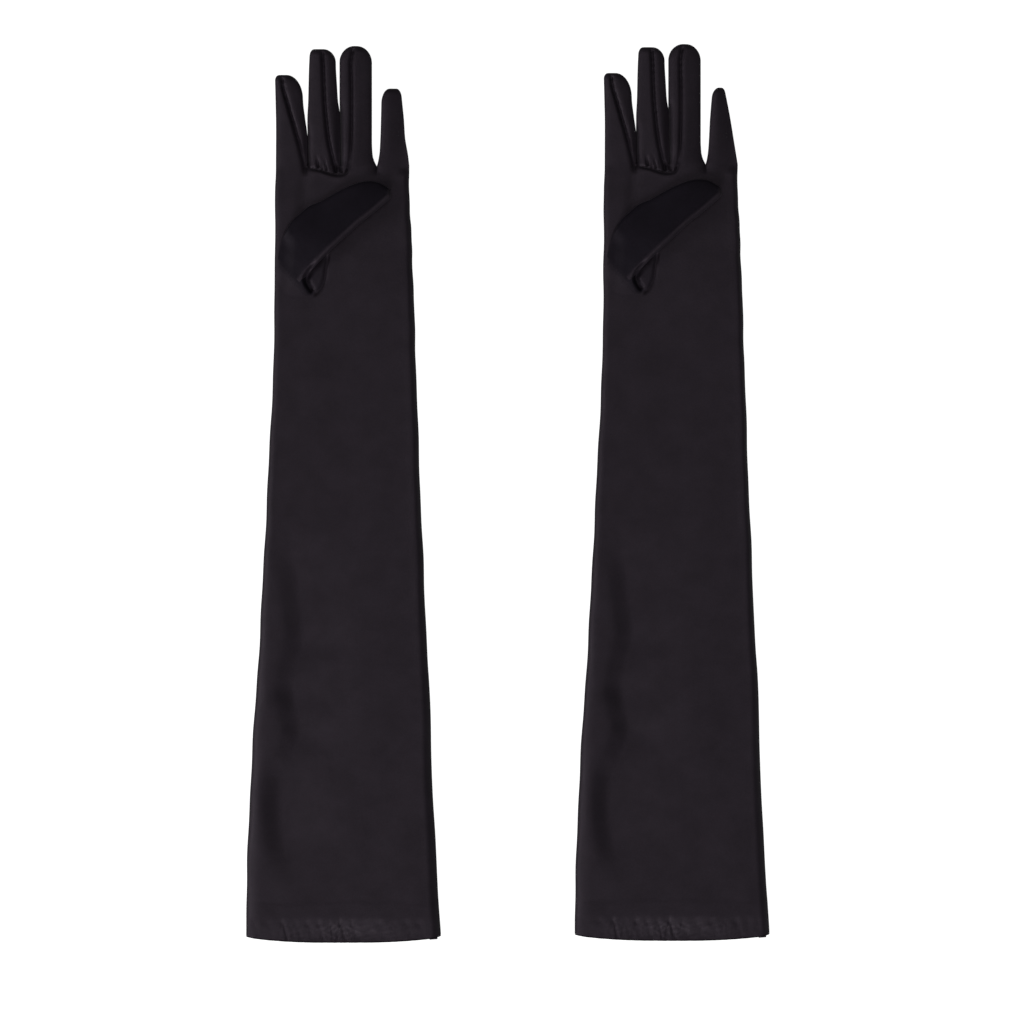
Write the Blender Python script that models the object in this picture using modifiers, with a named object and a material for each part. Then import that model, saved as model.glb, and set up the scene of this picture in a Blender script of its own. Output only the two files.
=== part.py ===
"""A pair of long satin opera gloves lying flat, palm side up, with the thumbs folded over the palms.

Each glove is cut and sewn like the real one: a trank that wraps round the hand and arm with its fold on
the thumb side and a side seam on the little-finger side, a thumb set into an oval hole in the palm,
fourchette strips between the fingers, and a turned-in hem at the arm opening. Cloth that is continuous
on the real glove is parted at the elbow, the wrist and the finger bases, where the glove folds.

Metres, +Z up. Fingers point to +Y, the arm opening to -Y. The origin is on the table, at the centre of
the pair. Both gloves are cut for the same hand and differ only in the little finger.
"""

import math

import bmesh
import bpy
from mathutils import Matrix, Vector

MM = 0.001

# Driving dimensions, in millimetres.
GLOVE_LENGTH = 549.8  # arm opening to the tip of the longest finger
PAIR_SPACING = 202.5  # between the two gloves' axes
PAIR_STAGGER = 1.2  # how far the second glove lies ahead of the first
CLOTH = 0.6  # thickness of a layer with its turned edges
SEW_GAP = 0.5  # left between pieces that are sewn together
ELBOW_Y = 137.0
WRIST_Y = 372.0
KNUCKLE_Y = 474.2  # where the fingers leave the palm
HEM_DEPTH = 24.0

# Flat outline of the sleeve and hand: distance from the arm opening, left edge, right edge, height.
SLEEVE_STATIONS = (
    (0.0, -59.6, 59.6, 10.0),
    (45.0, -58.7, 56.8, 9.2),
    (ELBOW_Y, -54.5, 53.1, 8.5),
    (262.0, -47.1, 47.4, 8.0),
    (344.0, -43.0, 44.2, 7.6),
    (WRIST_Y, -41.8, 43.6, 7.5),
    (440.0, -41.8, 40.9, 7.5),
    (462.0, -41.5, 39.6, 7.4),
    (KNUCKLE_Y, -41.2, 40.6, 7.2),
)

# Each finger: its edges at the base, at mid length and at the shoulder where the tip starts to round;
# the tip's place and how square its two corners are; and how far the seams with the fourchettes lie
# from the finger's edge, measured over the cloth, on top at the base, on top at the shoulder, and below.
HEIGHT_OF_FINGER = 7.0
HEIGHT_OF_TIP = 2.2
TIP_WIDTH_SHARE = 0.3
FOURCHETTE_TIP_SHARE = 0.45  # the strips run out at this share of the rounded tip
FOURCHETTE_END = 0.6 * FOURCHETTE_TIP_SHARE
TIP_SHARES = (0.0, FOURCHETTE_END, 0.5, 0.75, 0.9, 1.0)
FINGERS = {
    "index": {
        "base": (-41.2, -22.4),
        "mid": (497.0, -41.0, -22.4),
        "shoulder": (518.5, -41.3, -25.5),
        "tip": (-36.3, 531.8),
        "squareness": (6.0, 2.0),
        "left_seam": None,
        "right_seam": (3.0, 11.3, 5.0),
    },
    "middle": {
        "base": (-21.8, -3.1),
        "mid": (510.0, -21.3, -3.0),
        "shoulder": (538.0, -20.6, -5.0),
        "tip": (-14.3, 547.3),
        "squareness": (5.0, 3.0),
        "left_seam": (1.2, 1.2, 10.5),
        "right_seam": (5.8, 9.1, 4.5),
    },
    "ring": {
        "base": (-2.5, 20.1),
        "mid": (484.0, -2.5, 18.0),
        "shoulder": (535.0, -1.5, 17.6),
        "tip": (7.1, GLOVE_LENGTH),
        "squareness": (2.3, 2.3),
        "left_seam": (7.4, 8.1, 4.5),
        "right_seam": (1.2, 1.2, 10.5),
    },
    "little": {
        "base": (21.7, 40.6),
        "mid": (492.0, 22.9, 38.4),
        "shoulder": (514.0, 23.6, 36.4),
        "tip": (31.2, 523.7),
        "squareness": (2.4, 6.0),
        "left_seam": (6.7, 6.7, 4.5),
        "right_seam": (SEW_GAP / 2, SEW_GAP / 2, SEW_GAP / 2),
    },
}
# The second glove's little finger lies pinched, so its outer edge runs in to a narrow tip.
PINCHED_LITTLE = {"mid": (492.0, 22.9, 37.0), "shoulder": (514.0, 23.6, 32.8), "tip": (28.6, 523.7)}

# The thumb lies across the palm. Its own outline runs along a slanting axis from the lower end of its fold.
THUMB_HOLE_CENTRE = (-24.3, 415.0)
THUMB_HOLE_RADII = (12.5, 18.0)
THUMB_SEAM_WIDTH = 3.0
THUMB_SEAM_HEIGHT = 1.3
THUMB_START = (-26.5, 406.4)
THUMB_ANGLE = math.radians(42.4)
THUMB_HEIGHT = 6.2
THUMB_MOUTH_CENTRE = (-24.8, 423.0)
THUMB_MOUTH_RADIUS = 8.5
# Distance along the axis, the curved sewn edge, and the straight folded edge.
THUMB_STATIONS = (
    (-4.0, -15.5, -4.5),
    (3.0, -21.5, -0.6),
    (12.0, -26.3, 0.0),
    (22.0, -28.6, 0.0),
    (32.0, -28.6, 0.0),
    (42.0, -25.9, 0.0),
    (52.0, -23.1, 0.0),
    (64.0, -19.3, 0.0),
    (70.0, -15.9, 0.0),
    (74.5, -11.8, -0.3),
    (77.5, -6.8, -1.6),
)

# Seam allowances: two turned edges overlocked together, lying flat inside the glove.
SEAM_WIDTH = 4.4
SEAM_THICKNESS = 1.0
SEAM_INSET = CLOTH + 0.35

FLAT_WEIGHT = 0.7  # how closely the flats are divided, beside a quarter of a rounded edge
EDGE_FACET = 0.25
TUBE_STEPS = 18
FACE_STEPS = 6
FOURCHETTE_STEPS = 6
WRAP_STEPS = 14
ELLIPSE_STEPS = 28

BLACK_SATIN = (0.016, 0.014, 0.018, 1.0)
BLACK_THREAD = (0.010, 0.009, 0.011, 1.0)


def clear_scene():
    for old in list(bpy.data.objects):
        bpy.data.objects.remove(old, do_unlink=True)


def new_collection(name):
    made = bpy.data.collections.new(name)
    bpy.context.scene.collection.children.link(made)
    return made


def cloth_material(name, colour, roughness):
    made = bpy.data.materials.new(name)
    made.use_nodes = True
    shader = made.node_tree.nodes["Principled BSDF"]
    shader.inputs["Base Color"].default_value = colour
    shader.inputs["Roughness"].default_value = roughness
    shader.inputs["Metallic"].default_value = 0.0
    made.diffuse_color = colour
    return made


def between(stations, y):
    """The values of a list of stations (y, value, ...) at y, on straight lines between them."""
    for low, high in zip(stations, stations[1:]):
        if y <= high[0]:
            share = (y - low[0]) / (high[0] - low[0])
            return [a + (b - a) * share for a, b in zip(low[1:], high[1:])]
    return list(stations[-1][1:])


def interpolate(value, knots, results):
    """The result at value, on straight lines between the knots."""
    for k in range(1, len(knots)):
        if value <= knots[k] or k == len(knots) - 1:
            share = (value - knots[k - 1]) / max(knots[k] - knots[k - 1], 1e-9)
            return results[k - 1] + (results[k] - results[k - 1]) * share


class Section:
    """A flattened tube's cross-section: two flat layers joined by half-round edges.

    A place on it is the distance u over the cloth, from the middle of the left edge, over the top.
    The right edge's middle is at half the way round, and the under side follows, back to the left edge.
    """

    def __init__(self, y, left, right, height, middle):
        self.y, self.left, self.right, self.middle = y, left, right, middle
        self.radius = min(height, right - left) / 2
        self.quarter = math.pi * self.radius / 2
        self.half = right - left - 2 * self.radius + 2 * self.quarter

    def height(self):
        return self.middle + self.radius

    def point(self, u):
        u = (u + self.half) % (2 * self.half) - self.half
        side = 1 if u >= 0 else -1
        u = abs(u)
        if u < self.quarter:
            turn = u / self.radius
            x = self.left + self.radius * (1 - math.cos(turn))
            z = self.radius * math.sin(turn)
        elif u <= self.half - self.quarter:
            x = self.left + self.radius + u - self.quarter
            z = self.radius
        else:
            turn = (self.half - u) / self.radius
            x = self.right - self.radius * (1 - math.cos(turn))
            z = self.radius * math.sin(turn)
        return Vector((x, self.y, self.middle + side * z)) * MM

    def places(self, start, end, steps):
        """Places from start to end over the cloth, closer together round the edges than on the flats.

        The first and last are close to their neighbours, so that the cloth ends square to its surface.
        """
        flat = self.half - 2 * self.quarter
        distances, weights = [-self.half], [0.0]
        for _ in range(4):
            for length, weight in ((self.quarter, 1), (flat, FLAT_WEIGHT), (self.quarter, 1)):
                distances.append(distances[-1] + length)
                weights.append(weights[-1] + weight)
        first = interpolate(start + EDGE_FACET, distances, weights)
        last = interpolate(end - EDGE_FACET, distances, weights)
        shares = [first + (last - first) * k / steps for k in range(steps + 1)]
        return [start, *(interpolate(share, weights, distances) for share in shares), end]


def sleeve_section(y, inset=0.0):
    left, right, height = between(SLEEVE_STATIONS, y)
    return Section(y, left + inset, right - inset, height - 2 * inset, height / 2)


def finger_outline(finger, y):
    """(left edge, right edge, height, share of the tip) of a finger at y."""
    stations = ((KNUCKLE_Y, *finger["base"]), finger["mid"], finger["shoulder"])
    shoulder_y, left, right = finger["shoulder"]
    if y <= shoulder_y:
        return *between(stations, y), HEIGHT_OF_FINGER, 0.0
    tip_x, tip_y = finger["tip"]
    share = min((y - shoulder_y) / (tip_y - shoulder_y), 1.0)

    def narrowed(edge, squareness):
        width = (1 - share**squareness) ** (1 / squareness)
        return tip_x + (edge - tip_x) * max(width, TIP_WIDTH_SHARE)

    left_squareness, right_squareness = finger["squareness"]
    height = HEIGHT_OF_FINGER * (1 - share**2.5) ** 0.4
    return (
        narrowed(left, left_squareness),
        narrowed(right, right_squareness),
        max(height, HEIGHT_OF_TIP),
        share,
    )


def finger_section(finger, y):
    left, right, height, _ = finger_outline(finger, y)
    return Section(y, left, right, height, HEIGHT_OF_FINGER / 2)


def grid_surface(rows):
    """An open surface through rows of points, with its faces pointing out of the glove."""
    shell = bmesh.new()
    grid = [[shell.verts.new(p) for p in row] for row in rows]
    for near, far in zip(grid, grid[1:]):
        for k in range(len(near) - 1):
            shell.faces.new((near[k], near[k + 1], far[k + 1], far[k]))
    mesh = bpy.data.meshes.new("cloth")
    shell.to_mesh(mesh)
    shell.free()
    return mesh


def solidify(obj, thickness, offset):
    thick = obj.modifiers.new("cloth thickness", "SOLIDIFY")
    thick.thickness = thickness * MM
    thick.offset = offset
    thick.use_even_offset = True
    return obj


class Glove:
    """One glove's pieces, each parented to the empty that stands on its joint's axis."""

    def __init__(self, name, offset_x, offset_y, parts, cutters, satin, thread):
        self.name, self.parts, self.cutters = name, parts, cutters
        self.satin, self.thread = satin, thread
        self.origin = Vector((offset_x, offset_y, 0)) * MM
        self.pivots = {}
        self.pivot("frame", None, (0, 0, 0))

    def pivot(self, name, parent, place):
        """An empty on a joint's axis; place is in the glove's own frame, in millimetres."""
        empty = bpy.data.objects.new(f"{self.name}_{name}_pivot", None)
        self.parts.objects.link(empty)
        at = Vector(place) * MM
        if parent is None:
            empty.location = self.origin
        else:
            empty.parent = self.pivots[parent][0]
            empty.location = at - self.pivots[parent][1]
        self.pivots[name] = (empty, at)

    def piece(self, name, mesh, pivot, material):
        """A named piece whose mesh, given in the glove's frame, is moved to its pivot's."""
        empty, at = self.pivots[pivot]
        mesh.transform(Matrix.Translation(-at))
        obj = bpy.data.objects.new(f"{self.name}_{name}", mesh)
        obj.data.materials.append(material)
        obj.parent = empty
        self.parts.objects.link(obj)
        mesh.shade_smooth()
        mesh.set_sharp_from_angle(angle=math.radians(35))
        return obj

    def strip(self, name, pivot, sections, span, steps):
        """A strip of cloth through sections, between the two places that span gives on each."""
        rows = []
        for section in sections:
            start, end = span(section)
            rows.append([section.point(u) for u in section.places(start, end, steps)])
        return solidify(self.piece(name, grid_surface(rows), pivot, self.satin), CLOTH, -1)

    def tube(self, name, pivot, sections):
        """A piece that wraps all the way round, open along the side seam."""

        def all_round(s):
            return SEW_GAP / 2 - s.half, s.half - SEW_GAP / 2

        return self.strip(name, pivot, sections, all_round, TUBE_STEPS)

    def allowance(self, name, pivot, sections, edge="right"):
        """The overlocked seam allowance that lies inside, along a glove's or finger's edge."""
        rows = []
        for s in sections:
            near = s.right - SEAM_INSET if edge == "right" else s.left + SEAM_INSET
            far = near - SEAM_WIDTH if edge == "right" else near + SEAM_WIDTH
            row = [Vector((x, s.y, s.middle)) * MM for x in sorted((near, far))]
            rows.append(row)
        mesh = grid_surface(rows)
        return solidify(self.piece(name, mesh, pivot, self.thread), SEAM_THICKNESS, 0)

    def cutter(self, name, centre, radii, low, high):
        """An upright elliptical cylinder that cuts a hole."""
        shape = bmesh.new()
        bmesh.ops.create_cone(
            shape,
            cap_ends=True,
            segments=ELLIPSE_STEPS,
            radius1=1.0,
            radius2=1.0,
            depth=1.0,
        )
        size = Matrix.Diagonal((radii[0] * MM, radii[1] * MM, (high - low) * MM, 1.0))
        shape.transform(Matrix.Translation(Vector((*centre, (low + high) / 2)) * MM) @ size)
        mesh = bpy.data.meshes.new(name)
        shape.to_mesh(mesh)
        shape.free()
        obj = bpy.data.objects.new(f"{self.name}_{name}_cutter", mesh)
        obj.location = self.origin
        obj.hide_render = True
        obj.display_type = "WIRE"
        self.cutters.objects.link(obj)
        return obj


def cut(obj, cutter):
    hole = obj.modifiers.new("hole", "BOOLEAN")
    hole.operation = "DIFFERENCE"
    hole.object = cutter


def stations_between(low, high):
    """The sleeve's own stations that lie inside a stretch, with its two ends."""
    inside = [s[0] for s in SLEEVE_STATIONS if low + 1 < s[0] < high - 1]
    return [low, *inside, high]


def make_sleeve(glove):
    """The arm part of the trank in two lengths, with its side seam and the hem."""
    half_gap = SEW_GAP / 2
    upper = stations_between(0.0, ELBOW_Y - half_gap)
    glove.tube("upper_sleeve", "frame", [sleeve_section(y) for y in upper])
    clearance = CLOTH + 0.35
    hem = [sleeve_section(y, inset=clearance) for y in (half_gap, HEM_DEPTH)]
    glove.tube("hem_facing", "frame", hem)
    seam = stations_between(HEM_DEPTH + 0.6, ELBOW_Y - half_gap)
    glove.allowance("upper_side_seam", "frame", [sleeve_section(y) for y in seam])

    forearm = stations_between(ELBOW_Y + half_gap, WRIST_Y - half_gap)
    sections = [sleeve_section(y) for y in forearm]
    glove.tube("forearm_sleeve", "elbow", sections)
    glove.allowance("forearm_side_seam", "elbow", sections)


def make_hand(glove):
    """The hand part of the trank, with the oval thumb hole in the palm, and its seams."""
    half_gap = SEW_GAP / 2
    places = stations_between(WRIST_Y + half_gap, KNUCKLE_Y - half_gap)
    sections = [sleeve_section(y) for y in places]
    hand = glove.tube("hand_trank", "wrist", sections)
    palm = sleeve_section(THUMB_HOLE_CENTRE[1]).height()
    cut(hand, glove.cutter("thumb_hole", THUMB_HOLE_CENTRE, THUMB_HOLE_RADII, palm - 3, palm + 3))
    glove.allowance("hand_side_seam", "wrist", sections)
    glove.piece("thumb_hole_seam", thumb_ring(palm + 0.3), "wrist", glove.satin)


def thumb_ring(low):
    """The raised oval where the thumb is sewn into the palm, as a flat ring with its foot at height low."""
    curve = bpy.data.curves.new("ring", "CURVE")
    curve.dimensions = "2D"
    curve.fill_mode = "BOTH"
    curve.extrude = THUMB_SEAM_HEIGHT / 2 * MM
    for wider in (THUMB_SEAM_WIDTH, 0.0):
        spline = curve.splines.new("POLY")
        spline.points.add(ELLIPSE_STEPS - 1)
        spline.use_cyclic_u = True
        for k, point in enumerate(spline.points):
            turn = 2 * math.pi * k / ELLIPSE_STEPS
            x = THUMB_HOLE_CENTRE[0] + (THUMB_HOLE_RADII[0] + wider) * math.cos(turn)
            y = THUMB_HOLE_CENTRE[1] + (THUMB_HOLE_RADII[1] + wider) * math.sin(turn)
            point.co = (x * MM, y * MM, 0, 1)
    outline = bpy.data.objects.new("ring outline", curve)
    mesh = bpy.data.meshes.new_from_object(outline)
    bpy.data.objects.remove(outline)
    welded = bmesh.new()
    welded.from_mesh(mesh)
    bmesh.ops.remove_doubles(welded, verts=welded.verts, dist=1e-6)
    bmesh.ops.translate(welded, verts=welded.verts, vec=(0, 0, (low + THUMB_SEAM_HEIGHT / 2) * MM))
    welded.to_mesh(mesh)
    welded.free()
    return mesh


def thumb_underside():
    """Height of the thumb's lower layer, just above the seam that it lies on."""
    return sleeve_section(THUMB_HOLE_CENTRE[1]).height() + 0.3 + THUMB_SEAM_HEIGHT + 0.3


def thumb_hinge_place():
    """The thumb lifts off the palm about a line across the lower end of its fold."""
    along = THUMB_STATIONS[0][0]
    x = THUMB_START[0] + along * math.cos(THUMB_ANGLE)
    y = THUMB_START[1] + along * math.sin(THUMB_ANGLE)
    return x, y, thumb_underside()


def make_thumb(glove):
    """The thumb: one piece folded along its straight edge and sewn along its curved one."""
    low = thumb_underside()
    middle = low + THUMB_HEIGHT / 2
    sections = []
    for along, left, right in THUMB_STATIONS:
        height = min(THUMB_HEIGHT, max(HEIGHT_OF_TIP, 0.55 * (right - left)))
        sections.append(Section(along, left, right, height, middle))
    # The sections run along +Y; turn them so that they run along the thumb.
    lay = Matrix.Translation(Vector((*THUMB_START, 0)) * MM) @ Matrix.Rotation(
        THUMB_ANGLE - math.pi / 2, 4, "Z"
    )
    opening = SEW_GAP / 2
    rows = []
    for s in sections:
        places = s.places(opening, 2 * s.half - opening, TUBE_STEPS)
        rows.append([lay @ s.point(u) for u in places])
    thumb = glove.piece("thumb", grid_surface(rows), "thumb", glove.satin)
    solidify(thumb, CLOTH, -1)
    radii = (THUMB_MOUTH_RADIUS, THUMB_MOUTH_RADIUS)
    cut(thumb, glove.cutter("thumb_mouth", THUMB_MOUTH_CENTRE, radii, low - 1, middle - 1))
    rows = []
    for s in sections[2:-2]:
        near = s.left + SEAM_INSET
        row = [Vector((x, s.y, s.middle)) * MM for x in (near, near + SEAM_WIDTH)]
        rows.append([lay @ p for p in row])
    seam = glove.piece("thumb_seam", grid_surface(rows), "thumb", glove.thread)
    solidify(seam, SEAM_THICKNESS, 0)


def seam_places(finger, y):
    """Distances of the four seams from the finger's edges, over the cloth: left, right, top, under."""
    shoulder_y = finger["shoulder"][0]
    share_of_length = min((y - KNUCKLE_Y) / (shoulder_y - KNUCKLE_Y), 1.0)
    share_of_tip = finger_outline(finger, y)[3]
    narrowing = max(1 - share_of_tip / FOURCHETTE_TIP_SHARE, 0.0)
    places = []
    for seam in (finger["left_seam"], finger["right_seam"]):
        base, shoulder, under = seam or (0.0, 0.0, 0.0)
        top = base + (shoulder - base) * share_of_length
        places.append([max(p * narrowing, SEW_GAP / 2) for p in (top, under)])
    return places


def finger_places(finger, shares):
    """Distances along a finger: its base, its middle and the given shares of its rounded tip."""
    shoulder_y, tip_y = finger["shoulder"][0], finger["tip"][1]
    base = KNUCKLE_Y + SEW_GAP / 2
    early = (base + finger["mid"][0]) / 2
    late = (finger["mid"][0] + shoulder_y) / 2
    tips = [shoulder_y + share * (tip_y - shoulder_y) for share in shares]
    return [base, early, finger["mid"][0], late, *tips]


def make_finger(glove, name, finger):
    """The trank's faces of one finger, the fourchettes beside them, and the little finger's side seam."""
    whole = [finger_section(finger, y) for y in finger_places(finger, TIP_SHARES)]
    short = [finger_section(finger, y) for y in finger_places(finger, TIP_SHARES[:2])]

    def palm_span(s):
        (left_top, _), (right_top, _) = seam_places(finger, s.y)
        return left_top, s.half - right_top

    def back_span(s):
        (_, left_under), (_, right_under) = seam_places(finger, s.y)
        return s.half + right_under, 2 * s.half - left_under

    def wrap_span(s):
        start, end = back_span(s)[0] - 2 * s.half, palm_span(s)[1]
        return start, end

    def right_span(s):
        _, (top, under) = seam_places(finger, s.y)
        return s.half - top + SEW_GAP, s.half + under - SEW_GAP

    def left_span(s):
        (top, under), _ = seam_places(finger, s.y)
        return 2 * s.half - under + SEW_GAP, 2 * s.half + top - SEW_GAP

    if name == "index":
        glove.strip("index_trank", name, whole, wrap_span, WRAP_STEPS)
        glove.strip("index_fourchette", name, short, right_span, FOURCHETTE_STEPS)
        return
    glove.strip(f"{name}_palm_face", name, whole, palm_span, FACE_STEPS)
    glove.strip(f"{name}_back_face", name, whole, back_span, FACE_STEPS)
    if name == "little":
        glove.strip("little_fourchette", name, short, left_span, FOURCHETTE_STEPS)
        glove.allowance("little_side_seam", name, short[:-1])
        return
    before, after = {"middle": ("index", "ring"), "ring": ("middle", "little")}[name]
    glove.strip(f"{name}_fourchette_{before}_side", name, short, left_span, FOURCHETTE_STEPS)
    glove.strip(f"{name}_fourchette_{after}_side", name, short, right_span, FOURCHETTE_STEPS)


def make_glove(name, offset_x, offset_y, fingers, kit):
    glove = Glove(name, offset_x, offset_y, *kit)
    heights = {y: between(SLEEVE_STATIONS, y)[2] for y in (ELBOW_Y, WRIST_Y, KNUCKLE_Y)}
    glove.pivot("elbow", "frame", (0, ELBOW_Y, heights[ELBOW_Y]))
    glove.pivot("wrist", "elbow", (0, WRIST_Y, heights[WRIST_Y]))
    glove.pivot("thumb", "wrist", thumb_hinge_place())
    for finger_name in fingers:
        glove.pivot(finger_name, "wrist", (0, KNUCKLE_Y, heights[KNUCKLE_Y]))
    make_sleeve(glove)
    make_hand(glove)
    make_thumb(glove)
    for finger_name, finger in fingers.items():
        make_finger(glove, finger_name, finger)


def main():
    clear_scene()
    parts, cutters = new_collection("opera_gloves"), new_collection("cutters")
    satin = cloth_material("black_satin", BLACK_SATIN, 0.45)
    thread = cloth_material("black_thread", BLACK_THREAD, 0.8)
    kit = (parts, cutters, satin, thread)
    centre_y = -(GLOVE_LENGTH + PAIR_STAGGER) / 2
    make_glove("glove1", -PAIR_SPACING / 2, centre_y, FINGERS, kit)
    second = {**FINGERS, "little": {**FINGERS["little"], **PINCHED_LITTLE}}
    make_glove("glove2", PAIR_SPACING / 2, centre_y + PAIR_STAGGER, second, kit)


main()
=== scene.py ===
"""Looks for a pair of black satin opera gloves: the cloth's fine surface, its materials, light and camera.

Every shape is worked out in the glove's own frame, in millimetres: x across, y from the arm opening to
the fingers, z up from the table. Two height fields, the palm side and the back, meet along the outline.
"""

import math

import bpy
import numpy as np
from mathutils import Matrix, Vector


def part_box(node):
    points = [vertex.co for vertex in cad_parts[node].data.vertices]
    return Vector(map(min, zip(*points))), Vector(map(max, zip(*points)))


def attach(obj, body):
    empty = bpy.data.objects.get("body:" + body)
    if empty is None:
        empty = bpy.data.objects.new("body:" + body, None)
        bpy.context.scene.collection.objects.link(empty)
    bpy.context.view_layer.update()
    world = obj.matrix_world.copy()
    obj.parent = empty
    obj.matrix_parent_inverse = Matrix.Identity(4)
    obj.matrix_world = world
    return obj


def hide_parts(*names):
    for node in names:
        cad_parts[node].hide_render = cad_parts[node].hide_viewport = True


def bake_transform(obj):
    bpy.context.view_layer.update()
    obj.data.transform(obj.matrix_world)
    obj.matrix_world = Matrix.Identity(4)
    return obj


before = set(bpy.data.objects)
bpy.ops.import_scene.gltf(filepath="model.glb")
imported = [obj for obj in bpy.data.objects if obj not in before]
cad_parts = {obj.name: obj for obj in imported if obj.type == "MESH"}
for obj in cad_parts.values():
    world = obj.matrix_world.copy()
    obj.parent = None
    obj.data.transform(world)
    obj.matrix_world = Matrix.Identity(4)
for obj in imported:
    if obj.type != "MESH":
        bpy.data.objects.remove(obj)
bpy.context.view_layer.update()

MM = 0.001

# Dimensions, in millimetres

CLOTH = 0.45
FLOOR_REACH = 6.0  # in metres
FLOOR_Z = -0.0004
CROTCH_Y = 477.0  # the row where the palm becomes four fingers
ELBOW_BEND = (134.0, 171.0)
WRIST_BEND = (370.0, 392.0)
KNUCKLE_BEND = (CROTCH_Y, CROTCH_Y + 11)
SLEEVE_SPLIT_Y = 215.0  # where the sleeve's two lengths of cloth meet, halfway along the forearm
HEM_TURN = 24.0
EDGE_HEIGHT = 2.4  # the outline lies this high over the table
SEAM_EDGE_HEIGHT = 1.0  # and the sleeve's and palm's seamed edge this high
TROUGH_DEPTH = 3.6
FINGER_SEAM = (2.6, 1.2)  # depth and width
HEM_PUCKERS = (7.6, 12.0)  # how far apart they are, and how far up they reach
NOSE_OVERLAP = 0.17  # of fingers that touch
NOSE_STEP = 0.8
ALLOWANCE_INSET = 1.9
THREAD_RADIUS = 0.13
NEAR_BLACK = (0.0150, 0.0118, 0.0160)
STITCH_PITCH = 5.0
OVERLOCK_PITCH = 2.2
PAINTED_SHADE_STEPS = (1 / 3, 2 / 3)  # painted shade levels at which the next, darker copy of the satin begins

LEFT_EDGE = (
    (0, -60.2), (14, -59.9), (38, -59.4), (63, -58.8), (88, -57.7), (112, -56.4), (137, -54.9),
    (161, -53.3), (186, -51.6), (210, -50.3), (235, -49.1), (284, -46.5), (334, -44.1), (358, -43.0),
    (383, -42.4), (407, -42.7), (432, -42.1), (460, -42.1), (480, -41.6),
)
RIGHT_EDGE = (
    (0, 60.0), (14, 59.2), (38, 58.0), (63, 56.7), (88, 55.1), (112, 54.2), (137, 53.6),
    (161, 52.7), (186, 51.4), (210, 50.1), (235, 49.2), (284, 47.1), (334, 45.4), (358, 44.6),
    (383, 43.8), (407, 43.0), (432, 42.0), (456, 40.8), (469, 40.3), (480, 40.8),
)
SLEEVE_HEIGHT = ((0, 8.2), (40, 7.6), (137, 7.0), (260, 6.6), (372, 6.4), (440, 6.5), (480, 6.2))

# A finger's outline, its tip and the rounding of the tip's corners (across, along), its height, how far its
# top leans to the right, the seams on its palm side and back, and up to where it touches each neighbour.
FINGERS = {
    "index": {
        "left": ((477, -41.6), (500, -41.5), (517, -41.8), (533, -42.2)),
        "right": ((477, -22.3), (496, -22.3), (506, -23.5), (517, -24.8), (533, -25.3)),
        "tip": (533.2, (2.8, 3.6), (9.6, 14)),
        "height": 6.2,
        "lean": 0.3,
        "seam": ((477, -23.6), (492, -27.4), (515, -34.0), (527, -37.2), (533, -37.6)),
        "back_seams": (None, 5.0),
        "touches": (None, 496),
    },
    "middle": {
        "left": ((477, -22.3), (496, -22.2), (506, -22.2), (517, -21.7), (535, -21.3), (549, -20.7)),
        "right": ((477, -1.9), (510, -2.3), (517, -3.3), (528, -4.0), (539, -4.6), (549, -4.7)),
        "tip": (549.1, (2.8, 4.2), (7.6, 8.5)),
        "height": 6.3,
        "lean": 0.3,
        "seam": ((477, -5.4), (495, -9.2), (521, -11.6), (540, -12.3), (549, -12.8)),
        "back_seams": (4.5, 4.5),
        "touches": (496, 510),
    },
    "ring": {
        "left": ((477, -1.9), (510, -2.3), (521, -2.4), (551, -2.4)),
        "right": ((477, 20.6), (480, 19.1), (484, 18.0), (492, 17.6), (551, 17.6)),
        "tip": (551.0, (9.2, 10.0), (9.2, 10.5)),
        "height": 6.5,
        "lean": 0.9,
        "seam": (
            (471.5, 1.2), (477, 3.3), (482, 4.1), (491, 5.0), (505, 5.3), (521, 5.3), (540, 4.9), (551, 6.6),
        ),
        "back_seams": (4.5, 4.5),
        "touches": (510, None),
    },
    "little": {
        "left": ((477, 20.6), (480, 21.4), (487, 22.4), (505, 23.1), (525, 23.5)),
        "right": ((477, 40.6), (484, 39.8), (495, 38.0), (506, 37.3), (513, 36.6), (525, 35.4)),
        "tip": (524.8, (5.2, 9.0), (2.8, 5.0)),
        "height": 6.2,
        "lean": 2.4,
        "seam": None,
        "back_seams": (4.5, None),
        "touches": (None, None),
    },
}
# The second glove's little finger is pinched to a narrow tip.
PINCHED_LITTLE = {
    "left": ((477, 20.6), (480, 21.4), (487, 22.3), (505, 23.3), (524, 24.9)),
    "right": ((477, 40.4), (490, 38.3), (506, 35.7), (524, 32.2)),
    "tip": (524.2, (4.0, 6.0), (1.8, 3.0)),
}

# The thumb's own frame: along its fold, and across it to the upper left.
THUMB_START = np.array((-26.5, 406.4))
THUMB_ALONG = np.array((math.cos(math.radians(42.4)), math.sin(math.radians(42.4))))
THUMB_ACROSS = np.array((-THUMB_ALONG[1], THUMB_ALONG[0]))
THUMB_FOLD = ((-1, -0.6), (7, -0.2), (24, 0.5), (46, 0.6), (66, -0.4), (74.6, -0.5), (77.9, 2.6))
THUMB_CURVED_EDGE = (
    (-1, 18.8), (4, 22.5), (13, 27.2), (23, 29.6), (33, 29.4), (42, 26.6), (53, 24.0),
    (64, 20.6), (71, 16.6), (75.5, 11.6), (77.9, 5.6),
)
THUMB_HEIGHT = 8.0
THUMB_HOLE = (
    (-38.7, 425.7), (-40.3, 411.2), (-37.4, 400.4), (-31.5, 396.6), (-22.7, 396.4), (-15.8, 398.8),
    (-11.8, 405.0), (-10.5, 413.0), (-9.6, 422.0), (-12.0, 433.0), (-22.0, 438.0), (-33.0, 435.0),
)
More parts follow.
